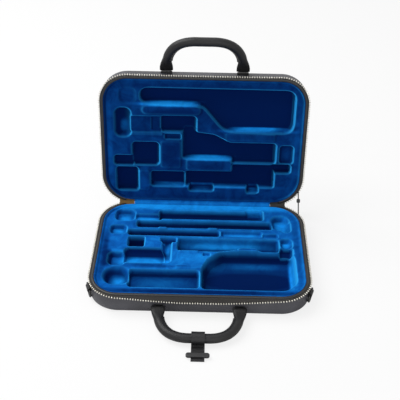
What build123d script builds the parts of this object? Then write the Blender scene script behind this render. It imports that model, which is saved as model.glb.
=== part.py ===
from build123d import *
import os
from math import sin, cos, radians, sqrt

os.makedirs("parts", exist_ok=True)

# Open case for a woodwind instrument, millimetres.
# The base lies flat on Z = 0. The lid stands open on a soft spine at the rear.
# Both halves share one set of sizes. A point on either half is given by x and
# by v, its distance from the hinge line along that half.

# overall sizes of one half
case_w = 340.0
case_d = 230.0
half_h = 34.0
front_r = 45.0
rear_r = 50.0
bottom_r = 11.0
lid_lean = 8.8

# shell, binding and tray
wall = 6.2
floor_t = 4.0
rim_gap = 0.4
binding_t = 1.5
tape_t = 1.0
fit_gap = 0.35
lip_w = 3.6
land_drop = 3.2

# zipper
zip_out = 5.6
base_droop = 6.0
lid_droop = 1.6
chain_w = 3.4
chain_h = 2.4
zip_end_v = 5.0
hinge_end = 52.0
zip_end_x = 36.0

# handles
handle_span = 62.0
handle_rise = 57.5
grip_r = 7.4
grip_flat = 15.0
foot_w = 20.0
foot_t = 7.0
pin_out = 6.0
pin_r = 1.8
pin_gap = 0.35
lug_depth = 19.0
lid_handle_lean = 22.0

# wrap on the base grip
wrap_w = 20.0
wrap_t = 1.6
wrap_gap = 1.0
wrap_reach = 36.0
bar_len = 35.0

# rings on the front corners
ring_turn = 19.0
ring_depth = 15.0
ring_stand = 4.6
ring_wire = 1.6
ring_w = 22.0

# cord that stops the lid
stay_inset = 13.5
stay_v = 40.0
stay_r = 1.0

lean = radians(lid_lean)
hinge_half = case_w / 2 - hinge_end
stay_x = case_w / 2 - stay_inset
wall_top = rim_gap + binding_t + tape_t
hinge_at = (0, case_d / 2, half_h)
base_plane = Plane(origin=hinge_at, x_dir=(1, 0, 0), z_dir=(0, 0, 1))
lid_plane = Plane(origin=hinge_at, x_dir=(1, 0, 0), z_dir=(0, -cos(lean), sin(lean)))
halves = {"base": (base_plane, -1), "lid": (lid_plane, 1)}


def save(part, name):
    part.label = name
    export_step(part, f"parts/{name}.step")


def outline(sk, side, inset):
    # rounded plan of one half, pulled in by the inset
    with Locations((0, side * case_d / 2)):
        Rectangle(case_w - 2 * inset, case_d - 2 * inset)
    rows = sk.vertices().sort_by(Axis.Y)
    if side < 0:
        rows = rows[::-1]
    fillet(rows[:2], rear_r - inset)
    rows = sk.vertices().sort_by(Axis.Y)
    if side < 0:
        rows = rows[::-1]
    fillet(rows[-2:], front_r - inset)


def down(plane):
    return Axis((0, 0, 0), plane.z_dir)


def make_shell(plane, side):
    with BuildPart() as shell:
        with BuildSketch(plane.offset(-half_h)) as sk:
            outline(sk, side, 0)
        extrude(amount=half_h - wall_top)
        fillet(shell.faces().sort_by(down(plane))[0].edges(), bottom_r)
        with BuildPart(mode=Mode.PRIVATE) as room:
            with BuildSketch(plane.offset(floor_t - half_h)) as sk:
                outline(sk, side, wall)
            extrude(amount=half_h)
            fillet(room.faces().sort_by(down(plane))[0].edges(), bottom_r - wall)
        add(room.part, mode=Mode.SUBTRACT)
    return shell.part


def make_binding(plane, side):
    # flat rim band, left out along the spine
    with BuildPart() as band:
        with BuildSketch(plane.offset(-rim_gap - binding_t)) as sk:
            outline(sk, side, 0)
        extrude(amount=binding_t)
        with BuildSketch(plane.offset(-half_h)) as sk:
            outline(sk, side, wall)
        extrude(amount=half_h, mode=Mode.SUBTRACT)
        with BuildSketch(plane.offset(-half_h)):
            with Locations((0, side * wall / 2)):
                Rectangle(2 * hinge_half, 3 * wall)
        extrude(amount=half_h, mode=Mode.SUBTRACT)
    return band.part


def make_tape(plane, side, droop):
    # flange under the binding, then a skirt that leans out and down
    with BuildPart() as tape:
        for shift, how in ((0, Mode.ADD), (tape_t, Mode.SUBTRACT)):
            top = -rim_gap - binding_t - shift
            with BuildSketch(plane.offset(top)) as sk:
                outline(sk, side, -0.4)
            with BuildSketch(plane.offset(top - droop)) as sk:
                outline(sk, side, -zip_out)
            loft(mode=how)
        with BuildSketch(plane.offset(-half_h)) as sk:
            outline(sk, side, wall / 2)
        extrude(amount=half_h, mode=Mode.SUBTRACT)
        with BuildSketch(plane.offset(-half_h)):
            with Locations((0, side * (zip_end_v / 2 - 10))):
                Rectangle(2 * case_w, zip_end_v + 20)
        extrude(amount=half_h, mode=Mode.SUBTRACT)
    return tape.part


def make_chain(plane, side, droop):
    # band of interlocking teeth along the free edge of the tape
    low = -rim_gap - binding_t - droop - tape_t - chain_h / 2
    with BuildPart() as chain:
        with BuildSketch(plane.offset(low)) as sk:
            outline(sk, side, -zip_out - chain_w)
        extrude(amount=chain_h)
        with BuildSketch(plane.offset(-half_h)) as sk:
            outline(sk, side, -zip_out)
        extrude(amount=half_h, mode=Mode.SUBTRACT)
        with BuildSketch(plane.offset(-half_h)):
            with Locations((0, side * (zip_end_v / 2 - 10))):
                Rectangle(2 * case_w, zip_end_v + 20)
        extrude(amount=half_h, mode=Mode.SUBTRACT)
    return chain.part


# Moulded hollows: x from, x to, v from, v to, depth, corner radius.
base_hollows = [
    (-146, -115, 18, 46, 8, 6),
    (-72, 102, 16, 38, 14, 5),
    (76, 104, 13, 38, 14, 4),
    (-110, -68, 26, 40, 8, 4),
    (-108, 121, 46, 62, 13, 5),
    (119, 149, 28, 66, 12, 12),
    (-151, -126, 60, 80, 8, 5),
    (-121, 30, 69, 83, 12, 4),
    (34, 100, 71, 82, 5, 4),
    (102, 127, 75, 84, 5, 4),
    (-119, -94, 88, 112, 18, 3),
    (-66, -41, 90, 99, 10, 3),
    (-62, -49, 90, 152, 14, 4),
    (-37, 127, 89, 111, 16, 4),
    (-37, 27, 100, 119, 16, 4),
    (97, 127, 100, 118, 16, 4),
    (-123, -62, 117, 152, 14, 6),
    (-147, -119, 128, 156, 10, 6),
    (-149, -110, 166, 202, 16, 14),
    (-114, -2, 170, 207, 15, 6),
    (130, 150, 88, 126, 10, 5),
]
base_bay = [(4, 207), (4, 166), (13, 140), (34, 123), (144, 123), (149, 134), (149, 190), (134, 207)]
lid_hollows = [
    (-141, -111, 182, 211, 6, 6),
    (-146, -122, 124, 173, 12, 8),
    (-124, -66, 134, 160, 5, 5),
    (-71, -14, 134, 160, 14, 5),
    (-34, -13, 86, 160, 14, 4),
    (-34, 123, 86, 114, 16, 5),
    (-121, -75, 70, 112, 14, 6),
    (-151, -117, 68, 88, 12, 5),
    (-147, -111, 20, 66, 18, 6),
    (-89, -30, 31, 58, 13, 5),
    (-32, 121, 31, 58, 15, 5),
    (-23, 18, 23, 50, 15, 4),
    (76, 95, 21, 50, 15, 4),
    (128, 152, 78, 110, 10, 5),
    (119, 149, 60, 78, 16, 5),
]
lid_bay = [(-104, 210), (-104, 188), (-5, 188), (34, 137), (138, 137), (148, 147), (148, 194), (132, 208)]


def make_tray(plane, side, hollows, bay, bay_depth):
    # foam block with a raised lip, sunk hollows and one long sloped bay
    inset = wall + fit_gap
    with BuildPart() as tray:
        with BuildSketch(plane.offset(floor_t - half_h)) as sk:
            outline(sk, side, inset)
        extrude(amount=half_h - floor_t - rim_gap)
        fillet(tray.faces().sort_by(down(plane))[0].edges(), bottom_r - wall + 1)
        with BuildSketch(plane.offset(-land_drop)) as sk:
            outline(sk, side, inset + lip_w)
        extrude(amount=land_drop, mode=Mode.SUBTRACT)
        for x0, x1, v0, v1, depth, radius in hollows:
            with BuildSketch(plane.offset(-land_drop - depth)):
                with Locations(((x0 + x1) / 2, side * (v0 + v1) / 2)):
                    RectangleRounded(x1 - x0, v1 - v0, radius)
            extrude(amount=half_h, mode=Mode.SUBTRACT)
        with BuildSketch(plane.offset(-land_drop - bay_depth)) as sk:
            with BuildLine():
                Polyline(*[(x, side * v) for x, v in bay], close=True)
            make_face()
            fillet(sk.vertices(), 6)
        extrude(amount=half_h, mode=Mode.SUBTRACT)
        # notch beside the right wall for the foot of the stay cord
        with BuildSketch(plane.offset(-land_drop - 3)):
            with Locations((stay_x, side * stay_v)):
                Rectangle(6.4, 11)
        extrude(amount=half_h, mode=Mode.SUBTRACT)
    return tray.part


def make_handle(plane):
    # round grip with a straight middle, curving down to two flat feet with eyes
    with BuildPart() as handle:
        with BuildLine(plane) as path:
            bend_a = (grip_flat + 18, handle_rise)
            bend_b = (handle_span - 6, handle_rise - 21.5)
            Polyline((0, handle_rise), bend_a, bend_b, (handle_span, 6))
            fillet(path.vertices().sort_by(Axis.X)[1:3], 30)
        with BuildSketch(Plane(origin=plane.origin + plane.y_dir * handle_rise, x_dir=plane.z_dir,
                               z_dir=plane.x_dir)):
            Circle(grip_r)
        sweep()
        with BuildSketch(plane):
            with Locations((handle_span, 6.5)):
                Rectangle(foot_w, 13)
        extrude(amount=foot_t / 2, both=True)
        eye = Plane(origin=plane.origin + plane.x_dir * (handle_span - foot_w / 2), x_dir=plane.z_dir,
                    z_dir=plane.x_dir)
        with BuildSketch(eye):
            Circle(foot_t / 2)
        extrude(amount=foot_w)
        with BuildSketch(Plane(origin=plane.origin, x_dir=plane.z_dir, z_dir=plane.x_dir)):
            Circle(pin_r + pin_gap)
        extrude(amount=case_w / 2, mode=Mode.SUBTRACT)
        mirror(about=Plane.YZ)
    return handle.part


def make_lug(wall_plane, x):
    # leather block on the wall with two ears that hold the pin
    ear = 4.0
    gap = foot_w + 0.8
    with BuildPart() as lug:
        with BuildSketch(wall_plane):
            with Locations((x, 0)):
                RectangleRounded(gap + 2 * ear, 12, 3)
        extrude(amount=1.6)
        with BuildSketch(wall_plane.offset(1.6)):
            with Locations((x - gap / 2 - ear / 2, 0), (x + gap / 2 + ear / 2, 0)):
                RectangleRounded(ear, 9, 1.2)
        extrude(amount=pin_out + 2.6)
        with BuildSketch(Plane(origin=wall_plane.origin + wall_plane.z_dir * pin_out,
                               x_dir=wall_plane.z_dir, z_dir=wall_plane.x_dir)):
            Circle(pin_r + 0.02)
        extrude(amount=case_w, both=True, mode=Mode.SUBTRACT)
    return lug.part


def make_pin(wall_plane, x):
    half = foot_w / 2 + 4.4
    axis = Plane(origin=wall_plane.origin + wall_plane.z_dir * pin_out + wall_plane.x_dir * (x - half),
                 x_dir=wall_plane.z_dir, z_dir=wall_plane.x_dir)
    with BuildPart() as pin:
        with BuildSketch(axis):
            Circle(pin_r)
        extrude(amount=2 * half)
    return pin.part


for name, (plane, side) in halves.items():
    droop = base_droop if side < 0 else lid_droop
    save(make_shell(plane, side), f"{name}_shell")
    save(make_binding(plane, side), f"{name}_rim_binding")
    save(make_tape(plane, side, droop), f"{name}_zipper_tape")
    save(make_chain(plane, side, droop), f"{name}_zipper_teeth")

save(make_tray(base_plane, -1, base_hollows, base_bay, 21), "base_tray")
save(make_tray(lid_plane, 1, lid_hollows, lid_bay, 20), "lid_tray")

# Handles: the pin line runs a little outside the front wall of each half.
for name, (plane, side) in halves.items():
    front = plane.origin + plane.y_dir * (side * case_d) - plane.z_dir * lug_depth
    wall_plane = Plane(origin=front, x_dir=(1, 0, 0), z_dir=plane.y_dir * side)
    pin_line = front + plane.y_dir * (side * pin_out)
    if side < 0:
        ring_out = grip_r + wrap_gap + wrap_t
        drop = (pin_line.Z - ring_out - 0.25) / handle_rise
        run = sqrt(1 - drop * drop)
        reach = Vector(0, -run, -drop)
    else:
        tip = radians(lid_handle_lean)
        reach = plane.y_dir * cos(tip) + plane.z_dir * sin(tip)
    normal = Vector(1, 0, 0).cross(reach)
    handle_plane = Plane(origin=pin_line, x_dir=(1, 0, 0), z_dir=normal)
    save(make_handle(handle_plane), f"{name}_handle")
    for tag, x in (("left", -handle_span), ("right", handle_span)):
        save(make_lug(wall_plane, x), f"{name}_handle_lug_{tag}")
        save(make_pin(wall_plane, x), f"{name}_handle_pin_{tag}")
    if side < 0:
        grip_mid = pin_line + reach * handle_rise

# Wrap: a strap looped round the base grip, its tail lying forward.
wrap_plane = Plane(origin=grip_mid, x_dir=(0, -1, 0), z_dir=(-1, 0, 0))
loop_r = grip_r + wrap_gap
with BuildPart() as wrap:
    with BuildSketch(wrap_plane):
        Circle(loop_r + wrap_t)
        with BuildLine():
            Polyline((0, -loop_r - wrap_t), (wrap_reach, -loop_r - wrap_t), (wrap_reach, -loop_r + wrap_t),
                     (loop_r + 2, -loop_r + wrap_t), (loop_r + wrap_t, -2), (0, 0), close=True)
        make_face()
        Circle(loop_r, mode=Mode.SUBTRACT)
    extrude(amount=wrap_w / 2, both=True)
save(wrap.part, "handle_wrap")

bar_plane = Plane(origin=grip_mid + Vector(0, -wrap_reach + 8, -loop_r + wrap_t), z_dir=(0, 0, 1))
with BuildPart() as bar:
    with BuildSketch(bar_plane):
        RectangleRounded(bar_len, 8, 3.9)
    extrude(amount=4)
    fillet(bar.faces().sort_by(Axis.Z)[-1].edges(), 1.5)
save(bar.part, "wrap_bar")

# Rings that hang from leather loops on the two front corners.
ring_z = half_h - ring_depth
turn = radians(ring_turn)
for tag, s in (("left", -1), ("right", 1)):
    corner = Vector(s * (case_w / 2 - front_r), front_r - case_d / 2, ring_z)
    out = Vector(s * cos(turn), -sin(turn), 0)
    along = Vector(s * sin(turn), cos(turn), 0)
    on_wall = corner + out * front_r
    pivot = on_wall + out * ring_stand
    hang = Plane(origin=pivot, x_dir=along, z_dir=out * s)
    with BuildPart() as loop:
        with BuildSketch(Plane(origin=on_wall - out, x_dir=along * s, z_dir=out)):
            with Locations((0, 3)):
                RectangleRounded(14, 12, 2)
        extrude(amount=2.8)
        with BuildSketch(Plane(origin=pivot, x_dir=out, z_dir=along)):
            Circle(ring_wire + 2.2)
            with Locations((-3.2, 0)):
                Rectangle(3.6, 2 * ring_wire + 4.4)
            Circle(ring_wire + 0.4, mode=Mode.SUBTRACT)
        extrude(amount=6, both=True)
        with Locations(corner):
            Cylinder(front_r, 2 * half_h, mode=Mode.SUBTRACT)
    save(loop.part, f"ring_loop_{tag}")
    with BuildPart() as ring:
        with BuildLine(hang) as wire:
            ThreePointArc((ring_w / 2, 0), (0, -14.5), (-ring_w / 2, 0))
        arc = wire.edges()[0]
        with BuildSketch(Plane(origin=arc @ 0, z_dir=arc % 0)):
            Circle(ring_wire)
        sweep()
        with BuildSketch(Plane(origin=pivot - along * (ring_w / 2), z_dir=along)):
            Circle(ring_wire)
        extrude(amount=ring_w)
        with Locations(pivot - along * (ring_w / 2), pivot + along * (ring_w / 2)):
            Sphere(ring_wire)
    save(ring.part, f"side_ring_{tag}")

# Soft spine outside and velvet strip inside, bent at the hinge line.
spine_t = 1.2
spine_gap = 0.1
spine_len = 22.0


def on_half(plane, side, v, deep):
    # side view point of one half: v along the half, deep behind its rim
    at = plane.origin + plane.y_dir * (side * v) - plane.z_dir * deep
    return (at.Y, at.Z)


with BuildPart() as spine:
    with BuildSketch(Plane.YZ):
        far = spine_gap + spine_t
        base_side = [on_half(base_plane, -1, -v, deep) for v, deep in
                     ((far, wall_top + 0.85), (far, spine_len), (spine_gap, spine_len), (spine_gap, wall_top + 0.3))]
        lid_side = [on_half(lid_plane, 1, -v, deep) for v, deep in
                    ((spine_gap, wall_top + 0.3), (spine_gap, spine_len), (far, spine_len), (far, wall_top + 0.85))]
        with BuildLine():
            Polyline(*base_side, *lid_side, close=True)
        make_face()
    extrude(amount=hinge_half - 0.5, both=True)
save(spine.part, "hinge_spine")

strip_t = 1.2
with BuildPart() as strip:
    with BuildSketch(Plane.YZ):
        low_d = wall_top - 0.1
        top_d = low_d - strip_t
        inner = (base_plane.z_dir + lid_plane.z_dir).normalized() * -0.4 + base_plane.origin
        with BuildLine():
            Polyline(
                on_half(base_plane, -1, wall, low_d),
                on_half(base_plane, -1, 0.6, low_d),
                on_half(lid_plane, 1, 0.6, low_d),
                on_half(lid_plane, 1, wall, low_d),
                on_half(lid_plane, 1, wall, top_d),
                (inner.Y, inner.Z),
                on_half(base_plane, -1, wall, top_d),
                close=True,
            )
        make_face()
    extrude(amount=hinge_half - 0.5, both=True)
save(strip.part, "lining_strip")

# Stay: an anchor block in each notch, a straight cord and a small clip on it.
ends = []
for name, (plane, side) in halves.items():
    with BuildPart() as anchor:
        with BuildSketch(plane.offset(-land_drop - 3)):
            with Locations((stay_x, side * stay_v)):
                RectangleRounded(5.6, 9, 1.5)
        extrude(amount=3.6)
    save(anchor.part, f"{name}_stay_anchor")
    at = plane.origin + plane.y_dir * (side * stay_v) - plane.z_dir * (land_drop - 1.4)
    ends.append(at + Vector(stay_x, 0, 0))
low, high = ends
along = (high - low).normalized()
with BuildPart() as stay:
    with BuildSketch(Plane(origin=low, z_dir=along)):
        Circle(stay_r)
    extrude(amount=(high - low).length)
save(stay.part, "lid_stay")
with BuildPart() as clip:
    with BuildSketch(Plane(origin=low + along * ((high - low).length * 0.5), x_dir=(1, 0, 0), z_dir=along)):
        RectangleRounded(5, 4, 1.2)
        Circle(stay_r + 0.05, mode=Mode.SUBTRACT)
    extrude(amount=6)
save(clip.part, "stay_clip")

# Slider parked at the rear left end of the chain, with its pull.
slider_at = Plane(origin=(zip_end_x - case_w / 2, case_d / 2 + 2.5, half_h - 5.2), z_dir=(0, 0, 1))
with BuildPart() as slider:
    with BuildSketch(slider_at):
        RectangleRounded(10, 6, 1.5)
    extrude(amount=4.4)
save(slider.part, "zipper_slider")
with BuildPart() as pull:
    with BuildSketch(Plane(origin=slider_at.origin + Vector(-5.3, 0, 3), x_dir=(0, 1, 0), z_dir=(-1, 0, 0))):
        with Locations((0, 7.3)):
            RectangleRounded(5, 14.4, 1.2)
    extrude(amount=1.2)
save(pull.part, "slider_pull")

# Metal stop that ends the chain at the rear right.
with BuildPart() as stop:
    with BuildSketch(Plane(origin=(case_w / 2 - zip_end_x, case_d / 2 + 1.2, half_h - 4.0), z_dir=(0, 0, 1))):
        RectangleRounded(6, 4, 1)
    extrude(amount=3)
save(stop.part, "zipper_stop")
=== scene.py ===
import math

import bmesh
import bpy
import numpy as np
from mathutils import Matrix, Vector


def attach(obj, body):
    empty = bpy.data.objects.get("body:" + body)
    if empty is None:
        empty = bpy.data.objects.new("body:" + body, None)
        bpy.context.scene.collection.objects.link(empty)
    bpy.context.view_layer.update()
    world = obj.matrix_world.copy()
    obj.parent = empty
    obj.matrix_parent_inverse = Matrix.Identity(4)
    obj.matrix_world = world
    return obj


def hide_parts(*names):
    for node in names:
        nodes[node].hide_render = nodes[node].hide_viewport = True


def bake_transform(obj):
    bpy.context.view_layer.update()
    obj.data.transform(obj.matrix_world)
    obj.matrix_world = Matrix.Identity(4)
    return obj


# Open instrument case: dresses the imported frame. Lengths in the dictionaries
# are millimetres, and every mesh is turned into metres on its way in.

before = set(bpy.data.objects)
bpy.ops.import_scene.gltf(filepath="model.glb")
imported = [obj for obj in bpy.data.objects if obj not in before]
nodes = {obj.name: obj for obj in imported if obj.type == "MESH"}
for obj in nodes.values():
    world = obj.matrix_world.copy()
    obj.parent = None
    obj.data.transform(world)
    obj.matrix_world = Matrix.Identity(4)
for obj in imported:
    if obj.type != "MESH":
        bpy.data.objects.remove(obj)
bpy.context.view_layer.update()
print("frame loaded")

caseSize = {
    "width": 340.0,
    "depth": 230.0,
    "halfHeight": 34.0,
    "frontRadius": 45.0,
    "rearRadius": 50.0,
    "wall": 6.2,
    "lidLean": 8.8,
}
lean = math.radians(caseSize["lidLean"])
hingePoint = np.array([0.0, caseSize["depth"] / 2, caseSize["halfHeight"]])
xAxis = np.array([1.0, 0.0, 0.0])
halfAxes = {
    "base": (np.array([0.0, -1.0, 0.0]), np.array([0.0, 0.0, 1.0])),
    "lid": (
        np.array([0.0, math.sin(lean), math.cos(lean)]),
        np.array([0.0, -math.cos(lean), math.sin(lean)]),
    ),
}
collection = bpy.context.scene.collection


# mesh helpers


def onHalf(half, x, v, z):
    # point = hinge + x along the hinge + v along the half + z out of its rim
    along, out = halfAxes[half]
    x, v, z = np.broadcast_arrays(x, v, z)
    return hingePoint + x[..., None] * xAxis + v[..., None] * along + z[..., None] * out


def meshPiece(name, points, faces, material, fields=None):
    # faces is an array of quads, or a list of arrays with 3, 4 or more corners
    mesh = bpy.data.meshes.new(name)
    groups = faces if isinstance(faces, list) else [faces]
    groups = [np.asarray(g, dtype=np.int32) for g in groups if len(g)]
    loops = np.concatenate([g.ravel() for g in groups])
    counts = np.concatenate([np.full(len(g), g.shape[1], dtype=np.int32) for g in groups])
    starts = np.concatenate(([0], np.cumsum(counts)[:-1])).astype(np.int32)
    mesh.vertices.add(len(points))
    mesh.vertices.foreach_set("co", (np.asarray(points, dtype=np.float64) / 1000).ravel())
    mesh.loops.add(len(loops))
    mesh.loops.foreach_set("vertex_index", loops)
    mesh.polygons.add(len(counts))
    mesh.polygons.foreach_set("loop_start", starts)
    mesh.polygons.foreach_set("loop_total", counts)
    mesh.update(calc_edges=True)
    mesh.polygons.foreach_set("use_smooth", np.full(len(counts), True))
    for key, values in (fields or {}).items():
        layer = mesh.attributes.new(key, "FLOAT", "POINT")
        layer.data.foreach_set("value", np.asarray(values, dtype=np.float64))
    mesh.validate()
    work = bmesh.new()
    work.from_mesh(mesh)
    bmesh.ops.recalc_face_normals(work, faces=work.faces)
    work.to_mesh(mesh)
    work.free()
    piece = bpy.data.objects.new(name, mesh)
    collection.objects.link(piece)
    mesh.materials.append(material)
    return piece


def gridFaces(nu, nv, closeU=False, closeV=False, flip=False):
    # quads between neighbours of an nu by nv grid
    i = np.arange(nu if closeU else nu - 1)
    j = np.arange(nv if closeV else nv - 1)
    i, j = np.meshgrid(i, j, indexing="ij")
    k = (i + 1) % nu
    m = (j + 1) % nv
    quads = np.stack([i * nv + j, k * nv + j, k * nv + m, i * nv + m], axis=-1).reshape(-1, 4)
    return quads[:, ::-1] if flip else quads


def unit(a):
    return a / np.maximum(np.linalg.norm(a, axis=-1, keepdims=True), 1e-9)


def signedPower(a, power):
    return np.sign(a) * np.abs(a) ** power


def turnOf(half, flat):
    # a direction in the plan (x, v) turned into the half's own frame
    return flat[:, :1] * xAxis + flat[:, 1:] * halfAxes[half][0]


def circlePoints(count):
    a = np.linspace(0, 2 * math.pi, count, endpoint=False)
    return np.stack([np.cos(a), np.sin(a)], 1)


def endCaps(n, m):
    # the two closing faces of a run of n rings with m points each
    return [np.arange(m)[None, :], ((n - 1) * m + np.arange(m)[::-1])[None, :]]


def smoothStep(a, b, t):
    s = np.clip((t - a) / (b - a), 0, 1)
    return s * s * (3 - 2 * s)


def evenly(points, count):
    # the same polyline with points evenly spaced by length
    length = np.concatenate(([0], np.cumsum(np.linalg.norm(np.diff(points, axis=0), axis=1))))
    at = np.linspace(0, length[-1], count)
    return np.stack([np.interp(at, length, column) for column in points.T], axis=1), length[-1]


def curveThrough(points, count):
    # Catmull-Rom curve through the points, then spaced evenly
    p = np.asarray(points, dtype=float)
    p = np.vstack([2 * p[0] - p[1], p, 2 * p[-1] - p[-2]])
    t = np.linspace(0, 1, 24, endpoint=False)[None, :, None]
    a, b, c, d = p[:-3, None], p[1:-2, None], p[2:-1, None], p[3:, None]
    fine = 0.5 * (2 * b + (c - a) * t + (2 * a - 5 * b + 4 * c - d) * t**2 + (3 * b - a - 3 * c + d) * t**3)
    fine = np.vstack([fine.reshape(-1, p.shape[1]), p[-2]])
    return evenly(fine, count)[0]


def sweepRing(path, sideDir, ring, widths, heights):
    # ring (m,2) carried along path (n,3); first axis along side, second along side x tangent
    tangent = unit(np.gradient(path, axis=0))
    side = unit(sideDir - (sideDir * tangent).sum(-1, keepdims=True) * tangent)
    up = np.cross(tangent, side)
    pts = (
        path[:, None]
        + side[:, None] * (ring[None, :, :1] * widths[:, None, None])
        + up[:, None] * (ring[None, :, 1:] * heights[:, None, None])
    )
    n, m = len(path), len(ring)
    return pts.reshape(-1, 3), [gridFaces(n, m, closeV=True)] + endCaps(n, m)


def copyShape(shape, faces, origins, ax, ay, az):
    # one small shape (k,3) copied to every origin along its own three axes
    pts = (
        origins[:, None]
        + shape[None, :, :1] * ax[:, None]
        + shape[None, :, 1:2] * ay[:, None]
        + shape[None, :, 2:] * az[:, None]
    )
    k = len(shape)
    shift = (np.arange(len(origins)) * k)[:, None, None]
    return pts.reshape(-1, 3), [(f[None] + shift).reshape(-1, f.shape[1]) for f in faces]


def roundedBlock(sx, sy, sz, power=4.0, nu=8, nv=5):
    # superellipsoid with closed poles: |x|^p + |y|^p + |z|^p = 1, scaled
    u = np.arange(nu) * 2 * math.pi / nu + math.pi / nu
    w = np.linspace(-math.pi / 2, math.pi / 2, nv + 2)[1:-1]
    uu, ww = np.meshgrid(u, w, indexing="xy")
    flatness = 2 / power
    level = signedPower(np.cos(ww), flatness)
    ring = np.stack(
        [
            sx * level * signedPower(np.cos(uu), flatness),
            sy * level * signedPower(np.sin(uu), flatness),
            sz * signedPower(np.sin(ww), flatness),
        ],
        -1,
    )
    pts = np.vstack([ring.reshape(-1, 3), [[0, 0, -sz], [0, 0, sz]]])
    quads = gridFaces(nv, nu, closeV=True, flip=True)
    i = np.arange(nu)
    low = np.stack([np.full(nu, nu * nv), (i + 1) % nu, i], -1)
    top = np.stack([np.full(nu, nu * nv + 1), (nv - 1) * nu + i, (nv - 1) * nu + (i + 1) % nu], -1)
    return pts, [quads, np.vstack([low, top])]


def placeBlock(shape, faces, at, half):
    # one small shape set at a point, square to the half
    along, out = halfAxes[half]
    single = [np.asarray(a, dtype=float)[None] for a in (at, xAxis, along, out)]
    return copyShape(shape, faces, *single)


def rimPath(inset, vEnd, count):
    # open run round one half from rear left, along left, front and right, to rear right
    w, d = caseSize["width"] / 2, caseSize["depth"]
    rr, rf = caseSize["rearRadius"], caseSize["frontRadius"]
    arc = np.linspace(0, math.pi / 2, 40)
    rearLeft = np.stack([-w + rr - (rr - inset) * np.sin(arc), rr - (rr - inset) * np.cos(arc)], 1)
    frontLeft = np.stack([-w + rf - (rf - inset) * np.cos(arc), d - rf + (rf - inset) * np.sin(arc)], 1)
    left = np.vstack([rearLeft, frontLeft])
    full = np.vstack([left, left[::-1] * [-1, 1]])
    fine, _ = evenly(full, 4000)
    pts, length = evenly(fine[fine[:, 1] >= vEnd], count)
    tangent = unit(np.gradient(pts, axis=0))
    normal = np.stack([-tangent[:, 1], tangent[:, 0]], 1)
    middle = np.array([0.0, d / 2])
    normal *= np.sign(((pts - middle) * normal).sum(1))[:, None]
    return pts, tangent, normal, length


# materials


def newMaterial(name):
    mat = bpy.data.materials.new(name)
    mat.use_nodes = True
    tree = mat.node_tree
    return mat, tree, tree.nodes["Principled BSDF"]


def addNode(tree, kind, **values):
    node = tree.nodes.new(kind)
    for key, value in values.items():
        if key in node.inputs:
            node.inputs[key].default_value = value
        else:
            setattr(node, key, value)
    return node


def addRamp(tree, stops):
    # colour ramp from (position, colour) stops in rising order
    ramp = addNode(tree, "ShaderNodeValToRGB")
    elements = ramp.color_ramp.elements
    for _ in stops[2:]:
        elements.new(0.5)
    for element, (position, color) in zip(elements, stops):
        element.position = position
        element.color = (*color, 1)
    return ramp


def groupTree(name, inputs, outputs):
    tree = bpy.data.node_groups.new(name, "ShaderNodeTree")
    for label, kind, value in inputs:
        s = tree.interface.new_socket(name=label, in_out="INPUT", socket_type=kind)
        if value is not None:
            s.default_value = value
    for label, kind in outputs:
        tree.interface.new_socket(name=label, in_out="OUTPUT", socket_type=kind)
    return tree, tree.nodes.new("NodeGroupInput"), tree.nodes.new("NodeGroupOutput")


def grainGroup():
    # pebbled leather: cells and fine noise give a height, slow noise gives wear
    tree, gin, gout = groupTree(
        "leatherGrain",
        [
            ("Vector", "NodeSocketVector", None),
            ("Pebble", "NodeSocketFloat", 700.0),
            ("Tone", "NodeSocketFloat", 0.2),
        ],
        [("Height", "NodeSocketFloat"), ("Shade", "NodeSocketFloat")],
    )
    cells = addNode(tree, "ShaderNodeTexVoronoi", feature="SMOOTH_F1")
    cells.inputs["Smoothness"].default_value = 0.6
    fine = addNode(tree, "ShaderNodeTexNoise", Detail=4.0, Roughness=0.6)
    slow = addNode(tree, "ShaderNodeTexNoise", Scale=22.0, Detail=3.0)
    double = addNode(tree, "ShaderNodeMath", operation="MULTIPLY")
    double.inputs[1].default_value = 1.7
    link = tree.links.new
    link(gin.outputs["Vector"], cells.inputs["Vector"])
    link(gin.outputs["Vector"], fine.inputs["Vector"])
    link(gin.outputs["Vector"], slow.inputs["Vector"])
    link(gin.outputs["Pebble"], cells.inputs["Scale"])
    link(gin.outputs["Pebble"], double.inputs[0])
    link(double.outputs[0], fine.inputs["Scale"])
    mix = addNode(tree, "ShaderNodeMath", operation="MULTIPLY_ADD")
    mix.inputs[1].default_value = 0.35
    link(fine.outputs["Fac"], mix.inputs[0])
    link(cells.outputs["Distance"], mix.inputs[2])
    link(mix.outputs[0], gout.inputs["Height"])
    shade = addNode(tree, "ShaderNodeMath", operation="MULTIPLY_ADD")
    link(slow.outputs["Fac"], shade.inputs[0])
    link(gin.outputs["Tone"], shade.inputs[1])
    shade.inputs[2].default_value = 0.0
    link(shade.outputs[0], gout.inputs["Shade"])
    return tree


leatherGrain = grainGroup()


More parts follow.
